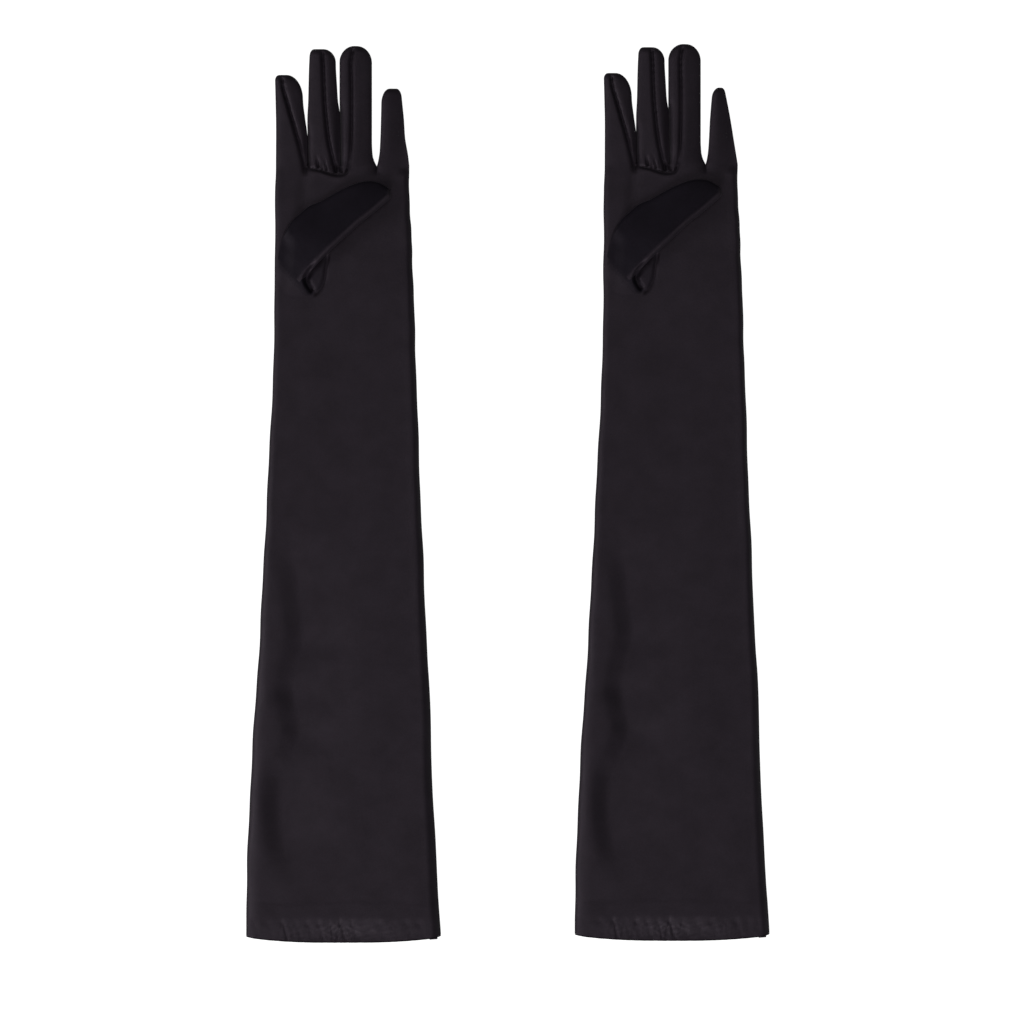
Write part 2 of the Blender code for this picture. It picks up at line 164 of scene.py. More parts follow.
POUCH_RIM = (
    (-19.2, 397.6), (-21.9, 401.0), (-24.0, 405.2), (-23.9, 409.0), (-20.9, 413.2), (-14.2, 419.8),
    (-6.0, 427.9),
)

# Folds and seams of the palm side.
SLEEVE_TROUGH = (
    (-34.0, 250), (-30.0, 222), (-28.5, 205), (-26.0, 188), (-31.5, 166), (-33.0, 150), (-28.5, 130),
    (-34.0, 113), (-40.5, 98), (-40.5, 72), (-37.0, 52), (-35.0, 36),
)
PALM_VALLEY = ((-23.2, 474), (-24.0, 462), (-25.5, 446))
MIDDLE_BASE_CREASE = (
    (-22.3, 479.0), (-20.4, 475.8), (-13.5, 474.0), (-8.9, 472.4), (-4.6, 471.4), (-1.0, 471.4),
    (1.6, 472.8), (3.2, 476.5),
)
# Tucks across the middle finger's base: each one's foot and head, depth and width.
MIDDLE_BASE_TUCKS = (
    ((-21.0, 475.5), (-21.8, 489.0), 1.2, 1.4),
    ((-15.1, 475.0), (-16.0, 483.5), 2.2, 0.95),
    ((-12.2, 473.6), (-13.8, 480.5), 1.2, 0.75),
    ((-9.9, 473.0), (-11.6, 482.0), 1.5, 0.75),
    ((-4.2, 472.0), (-4.6, 481.0), 2.2, 1.0),
    ((-0.6, 472.0), (-0.4, 478.0), 1.2, 0.9),
)


def smooth(t):
    t = np.clip(t, 0.0, 1.0)
    return t * t * (3 - 2 * t)


def round_edge(d, radius):
    """0 at an edge, rising like a quarter circle to 1 at radius inside it."""
    t = np.clip(d / radius, 0.0, 1.0)
    return np.sqrt(np.maximum(1 - (1 - t) ** 2, 0.0))


def sloping_edge(d, reach):
    """0 at an edge, rising at a steep slope that eases off to 1 at reach inside it."""
    return 1 - (1 - np.clip(d / reach, 0.0, 1.0)) ** 2


def outline_height(x, left, right):
    return EDGE_HEIGHT + (SEAM_EDGE_HEIGHT - EDGE_HEIGHT) * smooth((x - left) / (right - left))


def bump(d, width):
    return np.exp(-((d / width) ** 2))


def curve(knots, at):
    """Smooth values through knots (place, value), without overshoot."""
    x, v = np.array(knots, float).T
    slope = np.diff(v) / np.diff(x)
    tangent = np.zeros_like(v)
    same_way = slope[:-1] * slope[1:] > 0
    tangent[1:-1][same_way] = 2 / (1 / slope[:-1][same_way] + 1 / slope[1:][same_way])
    tangent[0], tangent[-1] = slope[0], slope[-1]
    at = np.clip(at, x[0], x[-1])
    k = np.clip(np.searchsorted(x, at) - 1, 0, len(x) - 2)
    step = x[k + 1] - x[k]
    t = (at - x[k]) / step
    return (
        v[k] * (1 + 2 * t) * (1 - t) ** 2
        + tangent[k] * step * t * (1 - t) ** 2
        + v[k + 1] * t**2 * (3 - 2 * t)
        + tangent[k + 1] * step * t**2 * (t - 1)
    )


def spline(points, count, closed=False):
    """Points evenly along a smooth line through the given ones."""
    p = np.array(points, float)
    if closed:
        p = np.vstack((p[-1:], p, p[:2]))
    else:
        p = np.vstack((2 * p[0] - p[1], p, 2 * p[-1] - p[-2]))
    fine = []
    for a, b, c, d in zip(p, p[1:], p[2:], p[3:]):
        t = np.linspace(0, 1, 24, endpoint=False)[:, None]
        fine.append(
            0.5 * (2 * b + (c - a) * t + (2 * a - 5 * b + 4 * c - d) * t**2 + (3 * b - a - 3 * c + d) * t**3)
        )
    fine = np.vstack((*fine, p[-2:-1]))
    length = np.concatenate(([0], np.cumsum(np.linalg.norm(np.diff(fine, axis=0), axis=1))))
    at = np.linspace(0, length[-1], count)
    return np.stack([np.interp(at, length, fine[:, k]) for k in range(2)], axis=1)


def from_line(x, y, line):
    """Signed distance from a line of points, positive on its left, and the share of its length there."""
    best = np.full(np.shape(x), 1e9)
    signed, share = np.zeros_like(best), np.zeros_like(best)
    steps = np.linalg.norm(np.diff(line, axis=0), axis=1)
    starts = np.concatenate(([0], np.cumsum(steps)))
    for k, (a, b) in enumerate(zip(line, line[1:])):
        ab = b - a
        t = np.clip(((x - a[0]) * ab[0] + (y - a[1]) * ab[1]) / (ab @ ab), 0, 1)
        dx, dy = x - a[0] - t * ab[0], y - a[1] - t * ab[1]
        d = np.hypot(dx, dy)
        nearer = d < best
        side = np.where(ab[0] * dy - ab[1] * dx >= 0, 1.0, -1.0)
        best = np.where(nearer, d, best)
        signed = np.where(nearer, d * side, signed)
        share = np.where(nearer, (starts[k] + t * steps[k]) / starts[-1], share)
    return signed, share


def ripple(x, y, seed):
    """A gentle unevenness of cloth, about -1 to 1, a few centimetres across."""
    a, b, c = seed * 1.7, seed * 2.9 + 1.3, seed * 0.6 + 4.1
    return (
        np.sin(x / 9.7 + 1.3 * np.sin(y / 31 + a) + b)
        + np.sin(y / 23 + 1.1 * np.sin(x / 17 + c) + a)
        + np.sin((x + 0.7 * y) / 14.3 + b)
        + np.sin((0.8 * x - 0.5 * y) / 11.1 + c)
    ) / 4


def fall(x, y):
    """How much lower the hand lies towards the little finger."""
    return 1.6 * smooth((x - 4) / 34) * smooth((y - 396) / 34) * (1 - 0.6 * smooth((y - CROTCH_Y) / 45))


def thumb_frame(x, y):
    """A place along the thumb's fold, and across it to the upper left."""
    dx, dy = x - THUMB_START[0], y - THUMB_START[1]
    return dx * THUMB_ALONG[0] + dy * THUMB_ALONG[1], dx * THUMB_ACROSS[0] + dy * THUMB_ACROSS[1]


def fold_height(p):
    """How high the thumb's fold stands over the palm."""
    return THUMB_HEIGHT * (0.12 + 0.88 * smooth((p + 12) / 42)) * (1 - 0.2 * smooth((p - 45) / 40))


def thumb_painted_shade(p, s):
    """Painted shade on the thumb's cloth, standing in for its turned satin grain and its slope away from the
    light: 1 over most of it, fading out at its base and up to 0.3 less near the curved edge close to its
    base.
    """
    pale = smooth((s - 18) / 6) * (1 - smooth((p - 2) / 14))
    return smooth((p + 8) / 9) * (1 - 0.3 * pale)


class Glove:
    """The shape of one glove, in its own frame."""

    def __init__(self, name, seed, pinched):
        self.name, self.seed = name, seed
        self.fingers = {k: dict(v) for k, v in FINGERS.items()}
        if pinched:
            self.fingers["little"].update(PINCHED_LITTLE)
        self.hole = spline(THUMB_HOLE, 160, closed=True)
        self.crease = spline(MIDDLE_BASE_CREASE, 60)
        self.trough = spline(SLEEVE_TROUGH, 60)
        self.valley = spline(PALM_VALLEY, 20)
        self.rim = spline(POUCH_RIM, 60)

    def edges(self, y):
        wander = 0.18 * np.sin(y / 13.0 + self.seed) + 0.14 * np.sin(y / 5.9 + 2 * self.seed)
        calm = smooth((470 - y) / 30)
        return curve(LEFT_EDGE, y) + wander * calm, curve(RIGHT_EDGE, y) + 0.8 * wander[::-1] * calm

    def finger_edges(self, name, y):
        """Left and right outline, rounded at the tip, and how high each lies over the table."""
        f = self.fingers[name]
        tip_y = f["tip"][0]
        out = []
        for side, (across, along), touch in zip((-1, 1), f["tip"][1:], f["touches"]):
            t = np.clip((y - tip_y + along) / along, 0, 1)
            x = curve(f["left"] if side < 0 else f["right"], y) - side * across * (1 - np.sqrt(1 - t * t))
            lift = np.zeros_like(x)
            if touch is not None:
                # Neighbours that touch overlap a little, one edge above the other.
                near = smooth((y - CROTCH_Y - 0.2) / 2)
                x = x + side * NOSE_OVERLAP * near * smooth((touch + 3 - y) / 6)
                lift = (side * NOSE_STEP - 1.2) * near * smooth((touch + 8 - y) / 10)
            out += [x, EDGE_HEIGHT + lift]
        return out

    def plain_top(self, x, y, left, right):
        """The palm under the thumb, without its seams and folds."""
        edge = round_edge(x - left, 4.2) * sloping_edge(right - x, 3.8)
        edge_height = outline_height(x, left, right)
        return edge_height + (curve(SLEEVE_HEIGHT, y) - edge_height) * edge

    def sleeve_top(self, x, y, left, right):
        height = curve(SLEEVE_HEIGHT, y)
        arm = smooth((300 - y) / 260)
        height = height + (0.16 + 0.22 * arm) * ripple(x, y, self.seed)
        # The cloth rises to a crest along the thumb side, then falls into a wandering hollow.
        d, share = from_line(x, y, self.trough)
        strength = smooth(share / 0.14) * smooth((1 - share) / 0.12)
        deeper = bump(y - 182, 9) + bump(y - 152, 9) + bump(y - 125, 9) + bump(y - 84, 26)
        strength = strength * (0.72 + 0.4 * deeper)
        height = height - TROUGH_DEPTH * strength * smooth((d + 10.5) / 13.0) * (1 - smooth(d / 46))
        height = height + 0.5 * strength * bump(d + 12, 4.5)
        # The turned-in hem makes a low step, and its blind stitches pull the cloth into puckers.
        hem_line = HEM_TURN + 0.7 * np.sin(x / 15 + self.seed) + 0.3 * np.sin(x / 4.3)
        height = height + 0.16 * (1 - smooth((y - hem_line + 1.3) / 2.6))
        height = height - 0.1 * (0.6 + 0.4 * np.sin(x / 9.0 + self.seed)) * bump(y - hem_line - 0.8, 1.5)
        height = height - (1.1 + 1.3 * bump(x - 3, 26)) * (1 - smooth(y / 16))
        height = height + self.hem_puckers(x, y)
        # The seam allowance inside lifts a narrow band along the side seam.
        band = smooth((8.0 - (right - x)) / 2.6)
        height = height + 0.22 * band * (1 - 0.6 * arm)
        height = height + self.palm_shape(x, y)
        soft_left = 4.2 + 5.5 * arm
        edge = round_edge(x - left, soft_left) * sloping_edge(right - x, 3.8 + 2.0 * arm)
        edge_height = outline_height(x, left, right)
        return edge_height + (height - edge_height) * edge

    def hem_puckers(self, x, y):
        pitch, reach = HEM_PUCKERS
        phase = (x + 1.7 * np.sin(x / 11 + self.seed)) / pitch
        near = (phase - np.round(phase)) * pitch
        strength = 0.7 + 0.35 * np.sin(np.round(phase) * 2.4 + self.seed)
        fan = bump(np.abs(near) - 0.26 * np.clip(reach - y, 0, reach), 0.9)
        along = smooth((reach + 1 - y) / 3) * smooth((y + 1) / 3)
        dimple = bump(np.hypot(near, (y - reach) * 0.8), 1.6)
        crumple = np.sin(x / 0.85 + 2.1 * np.sin(y / 1.7 + x / 5)) * np.sin(y / 0.95 + 1.7 * np.sin(x / 2.3))
        fleck = (0.08 + 0.16 * bump(x - 3, 30)) * crumple * smooth((reach + 1 - y) / 4)
        return fleck - strength * (0.55 * fan * along + 0.5 * dimple)

    def palm_shape(self, x, y):
        """Folds and seams of the palm: the valley between two fingers, the crease, and the thumb's oval."""
        d, _ = from_line(x, y, self.valley)
        shape = -1.2 * bump(d, 4.2) * smooth((y - 440) / 14)
        shape = shape - fall(x, y)
        shape = shape + self.crease_shape(x, y)
        return shape + self.thumb_base(x, y)

    def from_hole_and_rim(self, x, y):
        """Distances into the thumb's oval seam and past the pouch's rim, and the share along the rim."""
        return from_line(x, y, self.hole)[0], *from_line(x, y, self.rim)

    def mound(self, x, y):
        """The thumb's cloth inside its oval seam rises to the fold, and drops past it."""
        p, s = thumb_frame(x, y)
        inside, past, _ = self.from_hole_and_rim(x, y)
        lean = 1 - 0.62 * np.clip((s - 1) / 25, 0, 1)
        return fold_height(p) * lean * smooth(inside / 11.0) * smooth((past + 0.9) / 1.9)

    def thumb_base(self, x, y):
        """The mound, the pouch beside it with its dark hollow, and the oval seam."""
        p, _ = thumb_frame(x, y)
        inside, past, share = self.from_hole_and_rim(x, y)
        in_pouch = smooth((-past - 0.6) / 2.4)
        pouch = 0.55 * in_pouch * smooth(inside / 3.0)
        deep = smooth(share / 0.06) * (1 - 0.8 * smooth((share - 0.3) / 0.25)) * smooth((1 - share) / 0.2)
        hollow = -2.5 * deep * bump(past + 2.0, 1.7) * smooth(inside / 1.5)
        seam = -(0.12 + 1.5 * in_pouch) * bump(inside, 0.9) * smooth((30 - p) / 8)
        return self.mound(x, y) * (1 - smooth((p - 12) / 6)) + pouch + hollow + seam

    def crease_shape(self, x, y):
        d, share = from_line(x, y, self.crease)
        fade = smooth(share / 0.1) * smooth((1 - share) / 0.1)
        groove = -1.7 * bump(d, 0.9) * fade
        lip = 0.25 * bump(d + 2.2, 1.8) * fade
        behind = smooth((y - 468) / 4) * (1 - smooth((y - 478) / 14))
        set_back = -1.0 * smooth(d / 2.0) * smooth((4.0 - x) / 2.5) * smooth((x + 23.5) / 2.0) * behind
        return groove + lip + set_back

    def gathers(self, x, y):
        """Tucks that run up from the crease, with raised cloth beside each."""
        shape = np.zeros(np.shape(x))
        for (foot_x, foot_y), (head_x, head_y), depth, width in MIDDLE_BASE_TUCKS:
            share = (y - foot_y) / (head_y - foot_y)
            d = x - foot_x - (head_x - foot_x) * share
            fade = smooth(share / 0.15) * smooth((1 - share) / 0.7)
            shape = shape + depth * fade * (0.35 * bump(np.abs(d) - 1.7 * width, width) - bump(d, width))
        return shape

    def base_top(self, x, y, left, right):
        return self.sleeve_top(x, y, left, right) + self.gathers(x, y)

    def back(self, x, y, left, right):
        """The under side, which lies on the table."""
        lift = 0.12 * (1 + ripple(x, y, self.seed + 5))
        edge = round_edge(x - left, 5.0) * round_edge(right - x, 3.0)
        edge_height = outline_height(x, left, right)
        return edge_height - (edge_height - lift) * edge

    def section(self, name, x, y, roundness):
        """How full a finger is, from 0 at its outline to 1, its outline's height, and the share across."""
        left, left_height, right, right_height = self.finger_edges(name, y)
        share = np.clip((x - left) / (right - left), 0, 1)
        cross = np.abs(2 * share - 1)
        f = self.fingers[name]
        full = np.sqrt(np.maximum(1 - cross**roundness, 0)) * round_edge(f["tip"][0] - y, 4.5)
        for d, touch, width in zip((x - left, right - x), f["touches"], (1.2, 1.9)):
            if touch is not None:
                together = smooth((y - 472) / 5) * smooth((touch + 14 - y) / 20)
                full = full * (1 - 0.85 * together * bump(d, width))
        return full, left_height + (right_height - left_height) * share, share

    def finger_top(self, name, x, y):
        f = self.fingers[name]
        full, edge_height, share = self.section(name, x, y, 2.3)
        near_tip = smooth((f["tip"][0] - y) / 4.0)
        height = f["height"] + 0.12 * ripple(x * 2, y * 1.3, self.seed + 2) - f["lean"] * (2 * share - 1)
        height = height - fall(x, y)
        if f["seam"] is not None:
            d = x - curve(f["seam"], y)
            side = (-1.0 if name == "ring" else 1.0) * d
            pucker = 1 + 0.07 * np.sin(y / 0.75 + 1.5 * np.sin(y / 7.3 + self.seed))
            height = height - FINGER_SEAM[0] * bump(d, FINGER_SEAM[1]) * near_tip * pucker
            height = height - 0.5 * smooth(side / 3.0) * near_tip
            height = height + 0.5 * bump(side - 3.4, 1.8) * near_tip
            height = height + 0.22 * bump(side + 3.2, 2.4) * near_tip
        if name in ("middle", "ring"):
            height = height + self.gathers(x, y) + self.crease_shape(x, y) + self.crotch_puckers(name, x, y)
        return edge_height + (height - edge_height) * full

    def crotch_puckers(self, name, x, y):
        """Small tucks where the strip between the middle and ring fingers is drawn up."""
        left, _, right, _ = self.finger_edges(name, y)
        d = right - x if name == "middle" else x - left
        rows = np.sin((y - 478) * 1.3 + 1.6 * np.sin(y / 3.7))
        depth = 0.4 if name == "middle" else 0.12
        return depth * rows * bump(d - 1.6, 1.4) * smooth((502 - y) / 12)

    def finger_back(self, name, x, y):
        full, edge_height, _ = self.section(name, x, y, 2.8)
        left, _, right, _ = self.finger_edges(name, y)
        low = 0.25 + 0.35 * smooth((y - CROTCH_Y) / 30)
        seams = 0.0
        for side, inset in zip((-1, 1), self.fingers[name]["back_seams"]):
            if inset is not None:
                line = left + inset if side < 0 else right - inset
                seams = seams + 0.7 * bump(x - line, 0.8)
        return edge_height - (edge_height - low - seams) * full

    def across(self, x, y):
        """Painted shade where the thumb's cloth shows on the palm: up to 1 on the mound, 0.4 in the pouch,
        and 0 elsewhere.
        """
        inside, past, _ = self.from_hole_and_rim(x, y)
        in_pouch = smooth((-past - 0.2) / 2.0)
        # the thumb's painted shade, standing in for its turned grain and its slope away from the light
        grain = thumb_painted_shade(*thumb_frame(x, y))
        return smooth((inside + 0.4) / 1.4) * (0.4 * in_pouch + (1 - in_pouch) * grain)


# Grids of points


def spread(start, end, count):
    """Shares from start to end, closer together at both ends."""
    t = np.linspace(0, 1, count + 1)
    even = 0.35 * t + 0.65 * (1 - np.cos(math.pi * t)) / 2
    return start + (end - start) * even


TOP_COLUMNS = {"index": (18, 8), "middle": (28, 10), "ring": (10, 18), "little": (24,)}
BACK_COLUMNS = {"index": (12, 6), "middle": (5, 10, 5), "ring": (5, 10, 5), "little": (5, 12)}
# Each finger's panels, over its palm side and over its back.
PANELS = {
    "index": (("trank", "fourchette"), ("trank", "fourchette")),
    "middle": (
        ("palm_face", "fourchette_ring_side"),
        ("fourchette_index_side", "back_face", "fourchette_ring_side"),
    ),
    "ring": (
        ("fourchette_middle_side", "palm_face"),
        ("fourchette_middle_side", "back_face", "fourchette_little_side"),
    ),
    "little": (("palm_face",), ("fourchette", "back_face")),
}


def finger_columns(glove, name, y, side):
    """Places across a finger at each of the rows y, from its left edge to its right, along its seams."""
    f = glove.fingers[name]
    left, _, right, _ = glove.finger_edges(name, y)
    lines = [left]
    if side == "top":
        counts = TOP_COLUMNS[name]
        if f["seam"] is not None:
            margin = 0.15 * (right - left)
            lines.append(np.clip(curve(f["seam"], y), left + margin, right - margin))
    else:
        counts = BACK_COLUMNS[name]
        narrow = np.clip((right - left) / 14, 0, 1)
        if f["back_seams"][0] is not None:
            lines.append(left + f["back_seams"][0] * narrow)
        if f["back_seams"][1] is not None:
            lines.append(right - f["back_seams"][1] * narrow)
    lines.append(right)
    places = []
    for k, count in enumerate(counts):
        shares = spread(0.0, 1.0, count)
        shares = shares if k == len(counts) - 1 else shares[:-1]
        places.append(lines[k][:, None] + (lines[k + 1] - lines[k])[:, None] * shares)
    return np.hstack(places)


def rows_between(start, end, step):
    return np.linspace(start, end, max(int(round((end - start) / step)), 1) + 1)


def joined_rows(*stretches):
    """Rows along neighbouring stretches, each with its start, end and step."""
    parts = [rows_between(*stretch) for stretch in stretches]
    return np.concatenate([parts[0], *(p[1:] for p in parts[1:])])


def side_points(side, x, y, z):
    """A side's points, in the order that a loop over the top and back underneath takes them."""
    points = np.stack((x, y, z), axis=-1)
    return points if side == "top" else points[:, -2:0:-1]


def trank_rows():
    """Rows along the sleeve and palm, closer together where there are seams, bends and folds."""
    return joined_rows(
        (0, 30, 1.0), (30, 118, 2.2), (118, 178, 1.5), (178, SLEEVE_SPLIT_Y, 2.2),
        (SLEEVE_SPLIT_Y, 355, 2.5), (355, 394, 1.5), (394, 466, 0.9), (466, CROTCH_Y, 0.55),
    )


def finger_sections(glove, side, x, y):
    """Heights of the fingers' sections at their bases, carried on below them.

    Columns that lie beside a finger's outline there are moved onto it."""
    counts = TOP_COLUMNS if side == "top" else BACK_COLUMNS
    height = glove.finger_top if side == "top" else glove.finger_back
    z = np.zeros_like(x)
    first = 0
    for name in FINGERS:
        last = first + sum(counts[name])
        own = slice(first, last + 1)
        left, _, right, _ = glove.finger_edges(name, y[:, own])
        share = (x[:, own] - x[:, first : first + 1]) / (x[:, last : last + 1] - x[:, first : first + 1])
        z[:, own] = height(name, left + (right - left) * share, y[:, own])
        first = last
    return z


def trank_grid(glove):
    """Points of the sleeve and palm: for each row, over the top from left to right and back underneath."""
    y = trank_rows()
    left, right = glove.edges(y)
    base = np.array([CROTCH_Y])
    loops = []
    for side in ("top", "back"):
        at = [finger_columns(glove, f, base, side)[0] for f in FINGERS]
        at = np.concatenate([at[0], *(a[1:] for a in at[1:])])
        share = (at - at[0]) / (at[-1] - at[0])
        x = left[:, None] + (right - left)[:, None] * share
        # Near the fingers the columns run straight on into them.
        x = x + (at[None, :] - x) * smooth((y - (CROTCH_Y - 14)) / 14)[:, None]
        yy = np.repeat(y[:, None], x.shape[1], axis=1)
        # The hem's corners lie a little further up than its middle.
        yy = yy + 3.4 * np.abs(share * 2 - 1) ** 2.4 * smooth((60 - yy) / 60)
        height = glove.base_top if side == "top" else glove.back
        z = height(x, yy, x[:, :1], x[:, -1:])
        # In the last few millimetres the palm takes on the fingers' own sections.
        z = z + (finger_sections(glove, side, x, yy) - z) * smooth((y - (CROTCH_Y - 7)) / 7)[:, None]
        loops.append(side_points(side, x, yy, z))
    return np.hstack(loops), y


def finger_grid(glove, name):
    tip_y = glove.fingers[name]["tip"][0]
    y = CROTCH_Y + (tip_y - CROTCH_Y) * np.sin(np.linspace(0, math.pi / 2, 80))
    loops = []
    for side in ("top", "back"):
        x = finger_columns(glove, name, y, side)
        yy = np.repeat(y[:, None], x.shape[1], axis=1)
        z = (glove.finger_top if side == "top" else glove.finger_back)(name, x, yy)
        loops.append(side_points(side, x, yy, z))
    return np.hstack(loops)


def make_whole(glove):
    """One mesh of the trank and fingers, to take smooth normals from, with a panel's name for each face."""
    trank, y = trank_grid(glove)
    top_count = sum(sum(c) for c in TOP_COLUMNS.values()) + 1
    rows, ring = trank.shape[:2]
    points, faces = [trank.reshape(-1, 3)], ring_faces(rows, ring)
    on_sleeve = np.repeat(y[:-1] < SLEEVE_SPLIT_Y - 0.01, ring)
    panels = np.where(on_sleeve, "upper_sleeve", "forearm_and_palm").tolist()
    next_point = rows * ring
    last_row = np.arange(next_point - ring, next_point)
    last_top = last_row[:top_count]
    last_back = np.concatenate((last_top[:1], last_row[top_count:][::-1], last_top[-1:]))
    top_at = back_at = 0
    for name in FINGERS:
        grid = finger_grid(glove, name)
        tops, backs = sum(TOP_COLUMNS[name]), sum(BACK_COLUMNS[name])
        ids = np.arange(grid.shape[0] * grid.shape[1]).reshape(grid.shape[:2]) + next_point
        points.append(grid.reshape(-1, 3))
        next_point += grid.shape[0] * grid.shape[1]
        # The first row is the palm's own last row.
        first_top = last_top[top_at : top_at + tops + 1]
        first_back = last_back[back_at : back_at + backs + 1]
        ids = np.vstack((np.concatenate((first_top, first_back[-2:0:-1])), ids[1:]))
        # At the tip the two sides meet.
        last = ids[-1].copy()
        top_edge = grid[-1, : tops + 1, 0]
        for k in range(1, backs):
            nearest = int(np.argmin(np.abs(top_edge - grid[-1, tops + k, 0])))
            last[tops + k] = ids[-1, nearest]
        ids[-1] = last
        flat_ids = ids.ravel()
        for face, panel in zip(ring_faces(*ids.shape), panel_edges(name) * (len(ids) - 1)):
            face = tuple(dict.fromkeys(flat_ids[list(face)].tolist()))
            if len(face) >= 3:
                faces.append(face)
                panels.append(panel)
        top_at += tops
        back_at += backs
    return np.vstack(points), faces, panels


def panel_edges(name):
    """The panel that each column of a finger's ring belongs to."""
    top, back = (
        [f"{name}_{panel}" for panel, count in zip(panels, counts) for _ in range(count)]
        for panels, counts in zip(PANELS[name], (TOP_COLUMNS[name], BACK_COLUMNS[name]))
    )
    return top + back[::-1]


def thumb_grid(glove):
    """The folded thumb: its upper layer from the fold to the curved edge, and back underneath."""
    along = joined_rows((-1, 12, 0.7), (12, 68, 1.0), (68, 77.8, 0.4))
    fold, curved = curve(THUMB_FOLD, along), curve(THUMB_CURVED_EDGE, along)
    loops = []
    for side, count in (("top", 44), ("under", 24)):
        share = spread(0.0, 1.0, count)[None, :]
        across = fold[:, None] + (curved - fold)[:, None] * share
        p = np.repeat(along[:, None], across.shape[1], axis=1)
        x = THUMB_START[0] + p * THUMB_ALONG[0] + across * THUMB_ACROSS[0]
        y = THUMB_START[1] + p * THUMB_ALONG[1] + across * THUMB_ACROSS[1]
        width = (curved - fold)[:, None]
        left, right = glove.edges(y.ravel())
        palm = glove.plain_top(x, y, left.reshape(x.shape), right.reshape(x.shape))
        from_fold, from_curve = share * width, (1 - share) * width
        at_fold = round_edge(from_fold, 2.1)
        at_curve = round_edge(from_curve, 2.6)
        end = round_edge(77.9 - p, 3.0)
        lean = 1 - share * (0.66 - 0.08 * np.sin(p / 8.0))
        height = fold_height(p) * lean + 0.2 * ripple(x * 1.7, y * 1.7, glove.seed + 3)
        height = height + 0.4 * bump(from_fold - 1.6, 1.5)
        middle = 0.6 * height
        free = smooth((p - 7) / 9)
        rise = (-0.35 + 0.6 * smooth((p + 1) / 10)) * (1 - smooth((p - 11) / 6))
        if side == "top":
            shape = middle + (height - middle) * at_fold * at_curve * end
            z = palm + shape * free + glove.mound(x, y) * (1 - free) + rise
        else:
            under = 0.35 + 0.3 * share
            shape = middle - (middle - under) * at_fold * at_curve * end
            z = palm + shape * free - 1.0 * (1 - free)
        loops.append(side_points(side, x, y, z))
    return np.hstack(loops)


# Objects


def add_object(name, data):
    obj = bpy.data.objects.new(name, data)
    bpy.context.scene.collection.objects.link(obj)
    return obj


def add_mesh(name, points, faces, origin, material, uv=None):
    mesh = bpy.data.meshes.new(name)
    places = (np.asarray(points, float) + np.array((*origin, 0.0))) * MM
    mesh.from_pydata(places.tolist(), [], faces)
    mesh.shade_smooth()
    layer = mesh.uv_layers.new(name="cloth")
    corner = np.zeros(len(mesh.loops), np.int32)
    mesh.loops.foreach_get("vertex_index", corner)
    flat = np.asarray(points if uv is None else uv, float)[:, :2] * MM
    layer.data.foreach_set("uv", flat[corner].astype(np.float32).ravel())
    obj = add_object(name, mesh)
    obj.data.materials.append(material)
    # Blender adds a number to a material's name when the frame already has one of that name.
    return obj


def thicken(obj, thickness=CLOTH):
    solid = obj.modifiers.new("cloth", "SOLIDIFY")
    solid.thickness = thickness * MM
    solid.offset = -1
    solid.use_even_offset = False
    solid.use_quality_normals = True
    return obj


def set_painted_shade(mesh, values, faces, materials):
    """Stores the painted shade at each point, and gives each face the darker copy of the satin to match."""
    values = np.asarray(values, np.float32)
    attribute = mesh.attributes.new("across", "FLOAT", "POINT")
    attribute.data.foreach_set("value", values)
    if values.max() > PAINTED_SHADE_STEPS[0]:
        mesh.materials.clear()
        for name in ("satin", "painted_half_shade", "across"):
            mesh.materials.append(materials[name])
        # each face's mean painted shade picks its copy of the satin
        turned = np.array([values[list(f)].mean() for f in faces])
        mesh.polygons.foreach_set("material_index", np.digitize(turned, PAINTED_SHADE_STEPS))


def keep_border_sharp(mesh):
    """Marks the open border as sharp, so that its rim leaves the surface's normals alone."""
    edge_of_corner = np.zeros(len(mesh.loops), np.int32)
    mesh.loops.foreach_get("edge_index", edge_of_corner)
    uses = np.bincount(edge_of_corner, minlength=len(mesh.edges))
    mesh.edges.foreach_set("use_edge_sharp", (uses == 1).astype(bool))


def normals_of(points, faces):
    whole = bpy.data.meshes.new("whole")
    whole.from_pydata(points.tolist(), [], faces)
    whole.update()
    normals = np.zeros(len(whole.vertices) * 3, np.float32)
    whole.vertex_normals.foreach_get("vector", normals)
    bpy.data.meshes.remove(whole)
    return normals.reshape(-1, 3)


def split_panels(glove, points, faces, panels, normals, origin, materials):
    """One object for each panel, with the whole's normals, so that the cloth runs on without a break."""
    made = {}
    for panel in dict.fromkeys(panels):
        own = [f for f, p in zip(faces, panels) if p == panel]
        used = sorted({v for f in own for v in f})
        where = {v: k for k, v in enumerate(used)}
        faces_here = [tuple(where[v] for v in f) for f in own]
        obj = add_mesh(f"{glove.name}_{panel}_cloth", points[used], faces_here, origin, materials["satin"])
        x, y, z = points[used].T
        # painted shade on the raised cloth of the thumb's mound
        set_painted_shade(obj.data, np.where(z > 3.0, glove.across(x, y), 0.0), faces_here, materials)
        keep_border_sharp(obj.data)
        obj.data.normals_split_custom_set_from_vertices(normals[used].tolist())
        made[panel] = thicken(obj)
    return made


def put(made, **inputs):
    """Sets a node's sockets, whose names are given with _ for each space."""
    for name, value in inputs.items():
        made.inputs[name.replace("_", " ")].default_value = value
    return made


def node(tree, kind, **values):
    made = tree.nodes.new("ShaderNode" + kind)
    for key, value in values.items():
        setattr(made, key, value)
    return made


def link(start, output, end, socket):
    start.id_data.links.new(start.outputs[output], end.inputs[socket])


def new_material(name):
    made = bpy.data.materials.new(name)
    made.use_nodes = True
    return made, made.node_tree, made.node_tree.nodes["Principled BSDF"]


